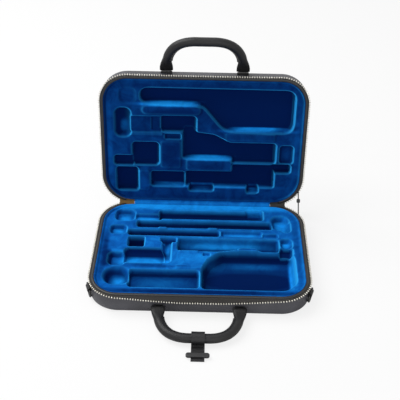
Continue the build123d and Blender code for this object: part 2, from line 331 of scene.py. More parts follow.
def leatherMaterial(name, dark, light, roughness, pebble, bump, shine=0.5):
    mat, tree, shader = newMaterial(name)
    coords = addNode(tree, "ShaderNodeTexCoord")
    grain = addNode(tree, "ShaderNodeGroup", node_tree=leatherGrain)
    grain.inputs["Pebble"].default_value = pebble
    grain.inputs["Tone"].default_value = 1.0
    tree.links.new(coords.outputs["Object"], grain.inputs["Vector"])
    ramp = addRamp(tree, [(0.3, dark), (0.75, light)])
    tree.links.new(grain.outputs["Shade"], ramp.inputs["Fac"])
    tree.links.new(ramp.outputs["Color"], shader.inputs["Base Color"])
    rough = addNode(tree, "ShaderNodeMapRange")
    rough.inputs["To Min"].default_value = roughness + 0.08
    rough.inputs["To Max"].default_value = roughness - 0.06
    tree.links.new(grain.outputs["Height"], rough.inputs["Value"])
    tree.links.new(rough.outputs["Result"], shader.inputs["Roughness"])
    dent = addNode(tree, "ShaderNodeBump", Strength=bump, Distance=0.0005)
    tree.links.new(grain.outputs["Height"], dent.inputs["Height"])
    tree.links.new(dent.outputs["Normal"], shader.inputs["Normal"])
    shader.inputs["Specular IOR Level"].default_value = shine
    return mat


def velvetMaterial(name, tones):
    # short pile: painted light and shade patches with random brushed noise pick the blue, hollows get painted
    # shade, and painted highlights brighten rolled edges that face the painted light
    mat, tree, shader = newMaterial(name)
    link = tree.links.new
    coords = addNode(tree, "ShaderNodeTexCoord")
    pileAndPaintedLight = addNode(tree, "ShaderNodeTexNoise", Scale=42.0, Detail=5.0, Roughness=0.62, Distortion=0.9)
    pile = addNode(tree, "ShaderNodeTexNoise", Scale=1400.0, Detail=3.0, Roughness=0.7)
    link(coords.outputs["Object"], pileAndPaintedLight.inputs["Vector"])
    link(coords.outputs["Object"], pile.inputs["Vector"])
    paintedLightAndShadeField = addNode(tree, "ShaderNodeAttribute", attribute_name="paintedLightAndShade")
    edgeField = addNode(tree, "ShaderNodeAttribute", attribute_name="edge")
    paintedShadeField = addNode(tree, "ShaderNodeAttribute", attribute_name="paintedShade")
    # painted light and shade from the point field, with random brushed noise, picks the place on the colour
    # ramp
    mixed = addNode(tree, "ShaderNodeMath", operation="MULTIPLY_ADD")
    mixed.inputs[1].default_value = 0.30
    link(paintedLightAndShadeField.outputs["Fac"], mixed.inputs[0])
    calm = addNode(tree, "ShaderNodeMath", operation="MULTIPLY_ADD")
    calm.inputs[1].default_value = 0.55
    calm.inputs[2].default_value = 0.23
    link(pileAndPaintedLight.outputs["Fac"], calm.inputs[0])
    link(calm.outputs[0], mixed.inputs[2])
    ramp = addRamp(tree, [(0.22, tones["deep"]), (0.5, tones["mid"]), (0.86, tones["lit"])])
    link(mixed.outputs[0], ramp.inputs["Fac"])
    # painted shade: the colour goes towards the dark hollow colour by the painted shade field, less where the
    # painted light is bright
    paintedShadeMix = addNode(tree, "ShaderNodeMix", data_type="RGBA")
    paintedShadeMix.inputs[7].default_value = (*tones["floor"], 1)
    paintedShadeAmount = addNode(tree, "ShaderNodeMath", operation="MULTIPLY_ADD", use_clamp=True)
    paintedShadeAmount.inputs[1].default_value = -0.72
    link(paintedLightAndShadeField.outputs["Fac"], paintedShadeAmount.inputs[0])
    link(paintedShadeField.outputs["Fac"], paintedShadeAmount.inputs[2])
    link(paintedShadeAmount.outputs[0], paintedShadeMix.inputs[0])
    link(ramp.outputs["Color"], paintedShadeMix.inputs[6])
    # painted highlight: the colour goes towards the bright highlight colour by the painted highlight field
    paintedHighlightMix = addNode(tree, "ShaderNodeMix", data_type="RGBA")
    paintedHighlightMix.inputs[7].default_value = (*tones["edge"], 1)
    link(edgeField.outputs["Fac"], paintedHighlightMix.inputs[0])
    link(paintedShadeMix.outputs[2], paintedHighlightMix.inputs[6])
    link(paintedHighlightMix.outputs[2], shader.inputs["Base Color"])
    height = addNode(tree, "ShaderNodeMath", operation="MULTIPLY_ADD")
    height.inputs[1].default_value = 2.0
    link(pileAndPaintedLight.outputs["Fac"], height.inputs[0])
    link(pile.outputs["Fac"], height.inputs[2])
    dent = addNode(tree, "ShaderNodeBump", Strength=0.5, Distance=0.0006)
    link(height.outputs[0], dent.inputs["Height"])
    link(dent.outputs["Normal"], shader.inputs["Normal"])
    shader.inputs["Roughness"].default_value = 0.95
    shader.inputs["Specular IOR Level"].default_value = 0.03
    shader.inputs["Sheen Weight"].default_value = 0.25
    shader.inputs["Sheen Roughness"].default_value = 0.3
    shader.inputs["Sheen Tint"].default_value = (0.0, 0.42, 1.0, 1)
    return mat


def wovenMaterial(name, dark, light, scale):
    mat, tree, shader = newMaterial(name)
    coords = addNode(tree, "ShaderNodeTexCoord")
    weave = addNode(tree, "ShaderNodeTexNoise", Scale=scale, Detail=3.0, Roughness=0.7)
    tree.links.new(coords.outputs["Object"], weave.inputs["Vector"])
    ramp = addRamp(tree, [(0.0, dark), (1.0, light)])
    tree.links.new(weave.outputs["Fac"], ramp.inputs["Fac"])
    tree.links.new(ramp.outputs["Color"], shader.inputs["Base Color"])
    dent = addNode(tree, "ShaderNodeBump", Strength=0.6, Distance=0.0004)
    tree.links.new(weave.outputs["Fac"], dent.inputs["Height"])
    tree.links.new(dent.outputs["Normal"], shader.inputs["Normal"])
    shader.inputs["Roughness"].default_value = 0.85
    return mat


def metalMaterial(name, color, worn, roughness, metallic=1.0):
    mat, tree, shader = newMaterial(name)
    coords = addNode(tree, "ShaderNodeTexCoord")
    scuff = addNode(tree, "ShaderNodeTexNoise", Scale=300.0, Detail=4.0, Roughness=0.6)
    tree.links.new(coords.outputs["Object"], scuff.inputs["Vector"])
    ramp = addRamp(tree, [(0.35, worn), (0.6, color)])
    tree.links.new(scuff.outputs["Fac"], ramp.inputs["Fac"])
    tree.links.new(ramp.outputs["Color"], shader.inputs["Base Color"])
    rough = addNode(tree, "ShaderNodeMapRange")
    rough.inputs["To Min"].default_value = roughness + 0.12
    rough.inputs["To Max"].default_value = roughness - 0.05
    tree.links.new(scuff.outputs["Fac"], rough.inputs["Value"])
    tree.links.new(rough.outputs["Result"], shader.inputs["Roughness"])
    shader.inputs["Metallic"].default_value = metallic
    return mat


shellLeather = leatherMaterial("shellLeather", (0.038, 0.038, 0.045), (0.070, 0.070, 0.083), 0.50, 620.0, 0.55)
bindingLeather = leatherMaterial(
    "bindingLeather", (0.007, 0.007, 0.007), (0.015, 0.014, 0.013), 0.45, 900.0, 0.35
)
handleLeather = leatherMaterial(
    "handleLeather", (0.0055, 0.0055, 0.006), (0.012, 0.012, 0.0135), 0.46, 780.0, 0.45, shine=0.34
)
# velvet colours: the first is the painted shade in hollows, the last the painted highlight on rolled edges, and
# the three between make the ramp of painted light and shade
velvetTones = {
    "floor": (0.0004, 0.012, 0.085),
    "deep": (0.0008, 0.030, 0.17),
    "mid": (0.0035, 0.115, 0.47),
    "lit": (0.010, 0.35, 1.0),
    "edge": (0.028, 0.44, 1.0),
}
velvetBlue = velvetMaterial("velvetBlue", velvetTones)
zipTape = wovenMaterial("zipTape", (0.012, 0.011, 0.010), (0.040, 0.037, 0.034), 1500.0)
tailBronze = wovenMaterial("tailBronze", (0.10, 0.055, 0.014), (0.22, 0.13, 0.035), 1500.0)
threadBlack = wovenMaterial("threadBlack", (0.02, 0.02, 0.022), (0.06, 0.06, 0.065), 2500.0)
zipTeethMetal = metalMaterial("zipTeethMetal", (0.72, 0.70, 0.63), (0.50, 0.47, 0.40), 0.32)
brassMetal = metalMaterial("brassMetal", (0.50, 0.36, 0.16), (0.28, 0.19, 0.08), 0.35)
blackMetal = metalMaterial("blackMetal", (0.012, 0.012, 0.013), (0.03, 0.03, 0.03), 0.35, 0.4)
blackPlastic = leatherMaterial("blackPlastic", (0.010, 0.010, 0.011), (0.016, 0.016, 0.017), 0.4, 2500.0, 0.15)
stayCord = wovenMaterial("stayCord", (0.008, 0.008, 0.009), (0.04, 0.04, 0.045), 3000.0)
print("materials ready")


# velvet trays


def roundBox(x, v, x0, x1, v0, v1, r):
    # signed distance to a rounded rectangle, negative inside
    cx, cv = (x0 + x1) / 2, (v0 + v1) / 2
    dx = np.abs(x - cx) - (x1 - x0) / 2 + r
    dv = np.abs(v - cv) - (v1 - v0) / 2 + r
    return np.hypot(np.maximum(dx, 0), np.maximum(dv, 0)) + np.minimum(np.maximum(dx, dv), 0) - r


def polygonSide(x, v, corners):
    # signed distance to a closed polygon: nearest edge, sign from crossings
    p = np.asarray(corners, dtype=float)
    q = np.roll(p, -1, axis=0)
    best = np.full(x.shape, 1e9)
    inside = np.zeros(x.shape, dtype=bool)
    for (ax, av), (bx, bv) in zip(p, q):
        ex, ev = bx - ax, bv - av
        t = np.clip(((x - ax) * ex + (v - av) * ev) / (ex * ex + ev * ev), 0, 1)
        best = np.minimum(best, np.hypot(x - ax - t * ex, v - av - t * ev))
        cross = (av > v) != (bv > v)
        inside ^= cross & (x < ax + (v - av) * ex / (ev if ev else 1e-9))
    return np.where(inside, -best, best)


def roundCorners(corners, radius):
    # each corner becomes a short curve between points one radius away along its two edges
    p = np.asarray(corners, dtype=float)
    before, after = np.roll(p, 1, axis=0) - p, np.roll(p, -1, axis=0) - p
    reachA = np.minimum(radius, 0.45 * np.linalg.norm(before, axis=1))[:, None]
    reachB = np.minimum(radius, 0.45 * np.linalg.norm(after, axis=1))[:, None]
    a, b = p + unit(before) * reachA, p + unit(after) * reachB
    t = np.linspace(0, 1, 6)[None, :, None]
    return ((1 - t) ** 2 * a[:, None] + 2 * t * (1 - t) * p[:, None] + t**2 * b[:, None]).reshape(-1, 2)


binding = {"width": 2.4, "height": 1.3, "centre": 2.7, "level": -1.6}

# hollow: x from, x to, v from, v to, depth, corner radius, wall slope, floor curve
# bay: corners, depth, wall slope, floor curve, corner radius
# raised: x from, x to, v from, v to, level below the rim, corner radius, slope
# painted light and shade patches: x, v, half length, half width, painted light from -1 dark (painted shade) to
# 1 bright (painted highlight)
trayShape = {
    "base": {
        "step": 0.9,
        "land": 3.2,
        "lip": 3.0,
        # direction of the painted light: slopes facing it get painted highlights, slopes facing away get
        # painted shade
        "paintedLightFrom": (-0.75, -0.66),
        "hollows": [
            (-146, -115, 18, 45, 8, 8, 5, 0.3),
            (-72, 100, 17, 38, 13, 4, 3, 0.2),
            (76, 104, 13, 38, 12, 4, 3, 0.2),
            (-112, -68, 29, 42, 6, 4, 4, 0.0),
            (-108, 119, 45, 62, 13, 5, 3, 0.2),
            (119, 147, 28, 62, 10, 12, 6, 0.6),
            (134, 149, 40, 68, 9, 7, 5, 0.5),
            (-151, -126, 60, 80, 7, 6, 5, 0.2),
            (-121, 30, 70, 83, 12, 4, 3, 0.2),
            (34, 100, 71, 82, 5, 3, 5, 0.0),
            (102, 127, 76, 84, 4, 3, 4, 0.0),
            (-119, -94, 89, 112, 18, 2, 2, 0.0),
            (-66, -41, 90, 99, 11, 2, 2, 0.0),
            (-62, -49, 90, 150, 13, 5, 4, 0.6),
            (-123, -58, 117, 152, 15, 8, 4, 0.8),
            (-147, -121, 129, 157, 9, 8, 6, 0.3),
            (-149, -111, 166, 201, 14, 16, 9, 0.7),
            (-111, -2, 169, 207, 14, 5, 3, 0.1),
            (131, 149, 88, 108, 8, 6, 5, 0.4),
            (128, 149, 110, 126, 11, 4, 3, 0.0),
            (4, 15, 126, 133, 4, 2, 2, 0.0),
        ],
        "bays": [
            (
                [(4, 207), (4, 166), (13, 140), (34, 123), (144, 123), (149, 134), (149, 190), (134, 207)],
                20, 6, 0.0, 7,
            ),
            (
                [
                    (-37, 90), (-37, 119), (27, 120), (55, 115), (67, 111),
                    (91, 111), (97, 118), (127, 118), (127, 90),
                ],
                15, 3, 0.8, 4,
            ),
        ],
        "raised": [
            (-72, -58, 63, 68.5, 1.6, 2.4, 3),
            (11, 27, 63, 68.5, 1.6, 2.4, 3),
            (-40, 20, 156, 165, 2.0, 4, 5),
            (-36, -4, 121, 127, 2.2, 2, 3),
            (60, 92, 112.5, 121, 2.0, 3, 3),
            (-122, -62, 153, 157, 2.0, 1.8, 3),
        ],
        # painted light and shade patches: bright ones are painted light, dark ones painted shade
        "pileAndPaintedLight": [
            (0, 8, 170, 7, 1.3), (-60, 40, 60, 8, 0.3), (-8, 137, 30, 12, 0.55), (-20, 160, 60, 4, 0.2),
            (-92, 138, 30, 11, 1.9), (-92, 120, 30, 4, -1.2), (-128, 184, 11, 10, 1.0),
            (-60, 188, 48, 15, 0.4), (-149, 142, 5, 18, -1.5),
            (40, 96, 76, 6, 1.0), (40, 112, 76, 5, -0.6), (70, 77, 34, 5, 0.8), (134, 46, 12, 16, 1.0),
            (147, 162, 5, 34, 1.6), (76, 170, 60, 14, -0.8), (76, 194, 60, 12, -0.1),
            (90, 136, 44, 7, 0.35), (-156, 130, 5, 60, -0.7),
            (10, 217, 150, 5, -1.1), (157, 120, 5, 70, -0.3), (-106, 100, 11, 11, -1.0),
            (10, 28, 80, 8, -0.8),
            (0, 54, 110, 7, -0.6), (-40, 77, 76, 6, -0.3), (-92, 36, 20, 5, 0.8),
            (-130, 34, 10, 9, 0.6),
            (-138, 70, 9, 6, 0.6), (-132, 142, 9, 9, 0.3), (-90, 98, 24, 8, 0.3), (140, 96, 6, 6, 0.9),
            (138, 118, 8, 7, -0.8), (-55, 110, 6, 10, 0.9), (-55, 140, 6, 8, 0.9),
            (-60, 160, 60, 3, -0.5),
        ],
    },
    "lid": {
        "step": 0.9,
        "land": 3.2,
        "lip": 3.0,
        # direction of the painted light: slopes facing it get painted highlights, slopes facing away get
        # painted shade
        "paintedLightFrom": (-0.94, -0.22),
        "hollows": [
            (-138, -113, 184, 207, 2.2, 8, 7, 0.0),
            (-146, -122, 124, 172, 12, 9, 7, 0.6),
            (-122, -68, 133, 159, 4.0, 4, 2.5, 0.0),
            (-87, -68, 134, 159, 5.5, 3, 2, 0.0),
            (-71, -13, 133, 160, 11, 5, 3, 0.1),
            (-64, -38, 120, 128, 5, 2, 2.5, 0.0),
            (-119, -75, 71, 112, 11, 6, 3, 0.1),
            (-150, -116, 70, 87, 9, 5, 3.5, 0.1),
            (-147, -111, 22, 65, 13, 5, 3, 0.1),
            (-88, -31, 31, 58, 11, 4, 2.5, 0.1),
            (-29, 121, 32, 60, 12, 4, 2.5, 0.1),
            (50, 121, 32, 73.5, 12, 3, 2.5, 0.1),
            (-23, 18, 23, 48, 12, 3, 2.5, 0.1),
            (76, 95, 21, 48, 12, 3, 2.5, 0.1),
            (129, 151, 78, 110, 7, 5, 3, 0.1),
            (115, 148, 60, 75, 12, 4, 2.5, 0.1),
        ],
        "bays": [
            (
                [(-104, 208), (-104, 184), (-3, 182), (35, 136), (138, 134), (148, 142), (148, 207)],
                12, 3, 0.0, 14,
            ),
            (
                [
                    (-34, 85), (-34, 140), (-14, 140), (-13, 131), (18, 127),
                    (44, 113), (121, 113), (121, 78), (50, 78), (50, 85),
                ],
                13, 3, 0.2, 4,
            ),
        ],
        "raised": [
            (-103, -4, 163, 181, 0.8, 9, 6),
            (-29, 49, 62.5, 83.5, 1.4, 5, 5),
            (-72, -37, 66, 117, 1.8, 5, 5),
            (-109, -90, 22, 62, 2.0, 6, 5),
            (-126, -68, 126, 131, 1.8, 2.4, 3),
            (36, 120, 118, 133, 2.0, 4, 6),
        ],
        # painted light and shade patches: bright ones are painted light, dark ones painted shade
        "pileAndPaintedLight": [
            (-53, 181.5, 50, 3.0, 1.9), (-53, 168, 48, 5, -0.3), (10, 84.5, 38, 2.6, 1.9),
            (10, 70, 38, 6, -0.1),
            (-54, 92, 15, 24, -0.3), (0, 213, 170, 5, -0.2), (-104, 146, 18, 11, 0.0),
            (-133, 138, 9, 14, 0.9),
            (60, 170, 74, 28, -0.4), (45, 98, 70, 9, -0.4), (45, 46, 74, 12, -0.4),
            (-60, 45, 26, 12, -0.9),
            (-98, 90, 20, 18, -0.7), (-130, 42, 16, 20, -0.5), (60, 126, 60, 6, -0.1),
            (0, 8, 160, 6, -0.1),
            (156, 120, 5, 60, 0.2), (-157, 110, 5, 70, 0.3), (132, 68, 16, 7, -0.9),
            (-42, 147, 26, 10, -0.7),
            (140, 94, 9, 12, 0.3), (-100, 40, 8, 18, 0.2), (-138, 79, 12, 7, -0.6),
            (90, 136.5, 50, 2.8, 1.9), (-60, 33, 28, 3, 0.9), (20, 31, 90, 3, 0.9),
            (86, 23, 9, 3, 0.9), (0, 24, 20, 3, 0.7),
        ],
        # the whole lid velvet is painted darker: painted shade on the upright lid
        "paintedLightLevel": -0.62,
    },
}


def softened(field, keep):
    # each inner point mixed with its four neighbours
    out = field.copy()
    around = field[:-2, 1:-1] + field[2:, 1:-1] + field[1:-1, :-2] + field[1:-1, 2:]
    out[1:-1, 1:-1] = keep * field[1:-1, 1:-1] + (1 - keep) / 4 * around
    return out


def trayGrid(spec, inset):
    # grid over the rounded plan, each row reaching to the border, and the distance in from it
    w, d = caseSize["width"] / 2 - inset, caseSize["depth"] - 2 * inset
    rr, rf = caseSize["rearRadius"] - inset, caseSize["frontRadius"] - inset
    nv = int(d / spec["step"])
    nx = int(2 * w / spec["step"] / 1.08)
    v = np.linspace(0, d, nv)
    radius = np.where(v < d / 2, rr, rf)
    fromEnd = np.minimum(v, d - v)
    reach = w - radius + np.sqrt(np.maximum(radius**2 - np.maximum(radius - fromEnd, 0) ** 2, 0))
    x = np.linspace(-1, 1, nx)[None, :] * reach[:, None]
    vv = np.repeat((v + inset)[:, None], nx, axis=1)
    cornerR = np.where(vv < caseSize["depth"] / 2, rr, rf)
    dx = np.abs(x) - (w - cornerR)
    dv = np.abs(vv - caseSize["depth"] / 2) - (d / 2 - cornerR)
    border = cornerR - np.where((dx > 0) & (dv > 0), np.hypot(dx, dv), np.maximum(dx, dv))
    return x, vv, border


def trayDepth(spec, x, vv, border):
    # depth below the rim: the deepest of the smooth-edged hollows, less the raised bars
    land = spec["land"] * smoothStep(0.4, spec["lip"] + 1.4, border) + trayEdge["start"]
    depth = land
    ground = spec["land"] + trayEdge["start"]
    for x0, x1, v0, v1, deep, r, slope, curve in spec["hollows"]:
        side = roundBox(x, vv, x0, x1, v0, v1, r)
        if v1 - v0 < x1 - x0:
            across = (vv - (v0 + v1) / 2) / (v1 - v0) * 2
        else:
            across = (x - (x0 + x1) / 2) / (x1 - x0) * 2
        trough = 1 - curve * 0.6 * np.clip(across, -1, 1) ** 2
        depth = np.maximum(depth, ground + deep * trough * smoothStep(slope * 0.5, -slope * 0.5, side))
    for corners, deep, slope, curve, radius in spec["bays"]:
        side = polygonSide(x, vv, roundCorners(corners, radius))
        low, high = min(c[1] for c in corners), max(c[1] for c in corners)
        trough = 1 - curve * 0.6 * np.clip((vv - (low + high) / 2) / (high - low) * 2, -1, 1) ** 2
        bay = deep * trough * smoothStep(slope * 0.5, -slope * 0.5, side)
        for _ in range(2):
            bay = softened(bay, 0.2)
        depth = np.maximum(depth, ground + bay)
    for x0, x1, v0, v1, level, r, slope in spec["raised"]:
        lift = smoothStep(slope * 0.5, -slope * 0.5, roundBox(x, vv, x0, x1, v0, v1, r))
        depth = depth + (level - depth) * lift * (depth < ground + 1.5)
    depth = np.where(border < spec["lip"], land, depth)
    for _ in range(2):
        depth = softened(depth, 0.5)
    return depth


def trayPile(spec, x, vv, soft):
    # point fields for the velvet: painted highlights on rolled edges that face the painted light, painted shade
    # on deep floors and on slopes facing away, painted light and shade patches
    bend = np.zeros_like(soft)
    around = soft[4:, 2:-2] + soft[:-4, 2:-2] + soft[2:-2, 4:] + soft[2:-2, :-4]
    bend[2:-2, 2:-2] = (around - 4 * soft[2:-2, 2:-2]) / 4
    slopeV, slopeX = np.gradient(soft, spec["step"])
    steep = np.hypot(slopeX, slopeV)
    facing = (slopeX * spec["paintedLightFrom"][0] + slopeV * spec["paintedLightFrom"][1]) / np.maximum(steep, 1e-6)
    facing = facing * np.clip(steep * 1.2, 0, 1)
    lit = np.clip(facing, 0, 1)
    # painted highlight: convex rolled edges get brighter, most where they face the painted light, and slopes
    # facing it a little
    edge = np.clip(np.clip(bend * 1.5, 0, 1) ** 1.25 * (0.2 + 0.78 * lit) + 0.12 * lit**1.5, 0, 0.9)
    # painted shade: deep floors and slopes facing away from the painted light get darker
    paintedShade = np.clip((soft - spec["land"] - 1.5) / 13, 0, 1) * 0.85 + 0.6 * np.clip(-facing, 0, 1)
    # painted light and shade: one level for the whole half plus the listed bright and dark patches
    paintedLightAndShade = np.full_like(soft, spec.get("paintedLightLevel", 0.0))
    for px, pv, hx, hv, amount in spec["pileAndPaintedLight"]:
        paintedLightAndShade += amount * np.exp(-(((x - px) / hx) ** 2) ** 1.4 - (((vv - pv) / hv) ** 2) ** 1.4)
    return {"edge": edge, "paintedShade": np.clip(paintedShade, 0, 1), "paintedLightAndShade": np.clip(paintedLightAndShade, -1, 1)}


# below its border the tray drops a little, steps in behind the wall's lining and ends flat
trayEdge = {"start": 0.5, "drop": 2.7, "step": 3.0, "under": 29.6, "gap": 0.3}


def velvetTray(half):
    spec = trayShape[half]
    inset = binding["centre"] + binding["width"] * 0.9
    x, vv, border = trayGrid(spec, inset)
    nv, nx = x.shape
    soft = trayDepth(spec, x, vv, border)
    top = onHalf(half, x, vv, -soft).reshape(-1, 3)
    ring = np.concatenate(
        [
            np.arange(nx),
            np.arange(1, nv) * nx + nx - 1,
            (nv - 1) * nx + np.arange(nx - 2, -1, -1),
            np.arange(nv - 2, 0, -1) * nx,
        ]
    )
    k = len(ring)
    rx, rv = x.ravel()[ring], vv.ravel()[ring]
    planSize = np.array([caseSize["width"], caseSize["depth"]])
    shrink = 1 - 2 * (caseSize["wall"] + trayEdge["gap"] - inset) / planSize
    middle = caseSize["depth"] / 2
    inX, inV = rx * shrink[0], middle + (rv - middle) * shrink[1]
    rows = [
        onHalf(half, px, pv, np.full(k, -trayEdge[level]))
        for px, pv, level in ((rx, rv, "drop"), (inX, inV, "step"), (inX, inV, "under"))
    ]
    i = np.arange(k)
    nxt = np.roll(i, -1)
    base = len(top)
    walls = [np.stack([ring, base + i, base + nxt, ring[nxt]], -1)]
    for start in (base, base + k):
        walls.append(np.stack([start + i, start + k + i, start + k + nxt, start + nxt], -1))
    groups = [gridFaces(nv, nx)] + walls + [(base + 2 * k + i[::-1])[None, :]]
    if half == "lid":
        groups = [g[:, ::-1] for g in groups]
    pad = np.zeros(3 * k)
    fields = {key: np.concatenate([f.ravel(), pad]) for key, f in trayPile(spec, x, vv, soft).items()}
    tray = meshPiece(half + "VelvetTray", np.vstack([top] + rows), groups, velvetBlue, fields=fields)
    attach(tray, half)
    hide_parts(half + "_tray")


velvetTray("base")
velvetTray("lid")
print("velvet trays made")


# zipper

zipper = {
    "vEnd": 5.0,
    "toothPitch": 3.9,
    "toothSize": (0.95, 1.5, 0.95),
    "toothProud": 0.9,
    "beadDrop": 0.5,
    "tuck": 2.4,
    "tuckDepth": 2.1,
    "tapeHalfThick": 0.45,
    "ripple": 0.25,
    "sagFrom": 0.7,
    "sagLeft": 0.92,
    "sagFade": (20, 165),
    "base": {"outSide": 2.4, "outFront": 5.6, "dropSide": 1.4, "dropFront": 8.2},
    "lid": {"outSide": 1.0, "outFront": 0.2, "dropSide": 1.0, "dropFront": 0.8},
}


def zipRun(half, count):
    # the free edge of the tape: further out and lower towards the middle of the front
    spec = zipper[half]
    pts, tangent, normal, length = rimPath(0.0, zipper["vEnd"], count)
    front = smoothStep(zipper["sagFrom"], 1.0, pts[:, 1] / caseSize["depth"])
    front *= 1 - zipper["sagLeft"] * smoothStep(*zipper["sagFade"], np.abs(pts[:, 0]))
    out = spec["outSide"] + (spec["outFront"] - spec["outSide"]) * front
    drop = spec["dropSide"] + (spec["dropFront"] - spec["dropSide"]) * front
    return pts, tangent, normal, out, drop, length


def zipTapeFor(half):
    # cross profile from under the binding, over the wall edge, down to the bead
    count = 420
    pts, _, normal, out, drop, _ = zipRun(half, count)
    across = np.array([0.0, 0.18, 0.34, 0.52, 0.7, 0.86, 1.0])
    tuck, tuckDepth = zipper["tuck"], zipper["tuckDepth"]
    reach = -tuck + (out[:, None] + tuck) * across[None, :]
    fall = tuckDepth + (drop[:, None] - tuckDepth + zipper["beadDrop"]) * smoothStep(0.1, 1.05, across)[None, :]
    ripple = zipper["ripple"] * np.sin(np.arange(count)[:, None] * 0.37) * across[None, :] ** 2
    sheets = []
    for lift in (zipper["tapeHalfThick"], -zipper["tapeHalfThick"]):
        flat = pts[:, None] + normal[:, None] * reach[..., None]
        sheets.append(onHalf(half, flat[..., 0], flat[..., 1], -(fall + ripple) + lift))
    m = 2 * len(across)
    loop = np.concatenate([sheets[0], sheets[1][:, ::-1]], axis=1)
    faces = [gridFaces(count, m, closeV=True, flip=half == "lid")] + endCaps(count, m)
    tape = meshPiece(half + "ZipTape", loop.reshape(-1, 3), faces, zipTape)
    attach(tape, half)
    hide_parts(half + "_zipper_tape")


def zipTeethFor(half):
    length = zipRun(half, 8)[-1]
    count = int(length / zipper["toothPitch"])
    pts, tangent, normal, out, drop, _ = zipRun(half, count)
    flat = pts + normal * (out + zipper["toothProud"])[:, None]
    origins = onHalf(half, flat[:, 0], flat[:, 1], -(drop + zipper["beadDrop"]))
    up = np.repeat(halfAxes[half][1][None], count, axis=0)
    shape, faces = roundedBlock(*zipper["toothSize"], power=5.0, nu=8, nv=3)
    points, groups = copyShape(shape, faces, origins, turnOf(half, tangent), turnOf(half, normal), up)
    teeth = meshPiece(half + "ZipTeeth", points, groups, zipTeethMetal)
    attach(teeth, half)
    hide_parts(half + "_zipper_teeth")


for half in ("base", "lid"):
    zipTapeFor(half)
    zipTeethFor(half)
print("zipper made")


# rim binding: a soft rounded cord of leather over the wall top


def rimBinding(half):
    pts, _, normal, _ = rimPath(binding["centre"], 1.5 + binding["centre"], 420)
    path = onHalf(half, pts[:, 0], pts[:, 1], np.full(len(pts), binding["level"]))
    ring = signedPower(circlePoints(16), np.array([0.7, 0.9]))
    widths, heights = np.full(len(path), binding["width"]), np.full(len(path), binding["height"])
    points, faces = sweepRing(path, turnOf(half, normal), ring, widths, heights)
    piece = meshPiece(half + "RimBinding", points, faces, bindingLeather)
    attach(piece, half)
    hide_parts(half + "_rim_binding")


for half in ("base", "lid"):
    rimBinding(half)
print("rim bindings made")


# padded leather skin of the base: it swells a little between rim and foot
skin = {
    "rows": [
        (6.1, 30.2), (6.1, 12.0), (6.0, 2.9), (0.3, 2.9), (-0.2, 5.0), (-1.3, 9.0), (-2.5, 14.0), (-3.2, 19.0),
        (-3.4, 24.0), (-2.9, 28.0), (-1.9, 31.0), (-0.2, 33.1), (2.4, 33.9), (7.0, 34.0), (16.0, 33.9),
    ],
    "swellFrom": 8.0,
    "swellTo": 60.0,
    "count": 560,
}


def baseSkin():
    # rows of (inset, depth) run round the plan; the swell fades out towards the hinge
    pts, _, normal, _ = rimPath(0.0, -1.0, skin["count"])
    swell = smoothStep(skin["swellFrom"], skin["swellTo"], pts[:, 1])
    rows = []
    for inset, deep in skin["rows"]:
        out = np.where(inset < 0, -inset * swell, -inset)
        flat = pts + normal * np.broadcast_to(out, len(pts))[:, None]
        rows.append(onHalf("base", flat[:, 0], flat[:, 1], np.full(len(pts), -deep)))
    points = np.stack(rows, 1)
    n, m = points.shape[:2]
    loop = np.arange(n) * m
    faces = [gridFaces(n, m, closeU=True), loop[None, :], (loop + m - 1)[None, ::-1]]
    piece = meshPiece("baseLeatherSkin", points.reshape(-1, 3), faces, shellLeather)
    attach(piece, "base")
    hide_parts("base_shell")


baseSkin()
print("base skin made")


# handles

handle = {
    "pinOut": 6.0,
    "pinDepth": 19.0,
    "span": 62.0,
    "rise": 57.5,
    "gripRadius": 7.4,
    "footWidth": 10.8,
    "footThick": 3.4,
    "lidForward": 22.0,
    "restHeight": 10.25,
    "stitchPitch": 4.0,
    "seamFrom": 20,
    "tab": (9.6, 1.8, 3.6),
    "tabBack": 4.7,
    "wire": (9.9, 1.7, 1.7),
    "line": [
        (62, 0), (62, 6), (61.2, 16), (58.4, 29), (52.5, 40.5), (43.5, 49.5), (32, 55), (20, 57.3), (8, 57.5),
    ],
}


def handleAxes(half):
    along, out = halfAxes[half]
    pin = hingePoint + along * (caseSize["depth"] + handle["pinOut"]) - out * handle["pinDepth"]
    if half == "base":
        drop = (pin[2] - handle["restHeight"]) / handle["rise"]
        reach = np.array([0.0, -math.sqrt(1 - drop * drop), -drop])
    else:
        tip = math.radians(handle["lidForward"])
        reach = along * math.cos(tip) + out * math.sin(tip)
    return pin, reach


def padHandle(half):
    # round padded grip: width and thickness change from flat foot to round grip
    pin, reach = handleAxes(half)
    right = np.array(handle["line"], dtype=float)
    left = right[::-1] * [-1, 1]
    flat = curveThrough(np.vstack([right, left]), 180)
    path = pin + flat[:, :1] * xAxis + flat[:, 1:] * reach
    face = np.cross(xAxis, reach)
    up = flat[:, 1]
    grip = smoothStep(3, 24, up)
    width = handle["footWidth"] + (handle["gripRadius"] - handle["footWidth"]) * grip
    thick = handle["footThick"] + (handle["gripRadius"] * 0.97 - handle["footThick"]) * smoothStep(6, 30, up)
    ring = circlePoints(28)[:, ::-1]
    square = signedPower(ring, 0.5)
    tangent = unit(np.gradient(path, axis=0))
    side = np.repeat(face[None], len(path), axis=0)
    inPlane = np.cross(tangent, side)
    blendRing = ring[None] * grip[:, None, None] + square[None] * (1 - grip)[:, None, None]
    pts = (
        path[:, None]
        + side[:, None] * blendRing[..., :1] * thick[:, None, None]
        + inPlane[:, None] * blendRing[..., 1:] * width[:, None, None]
    )
    n, m = pts.shape[:2]
    faces = [gridFaces(n, m, closeV=True, flip=True)] + [f[:, ::-1] for f in endCaps(n, m)]
    piece = meshPiece(half + "Handle", pts.reshape(-1, 3), faces, handleLeather)
    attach(piece, half + "_handle")
    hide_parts(half + "_handle")
    return path, side, inPlane, width, up


handleRuns = {half: padHandle(half) for half in ("base", "lid")}


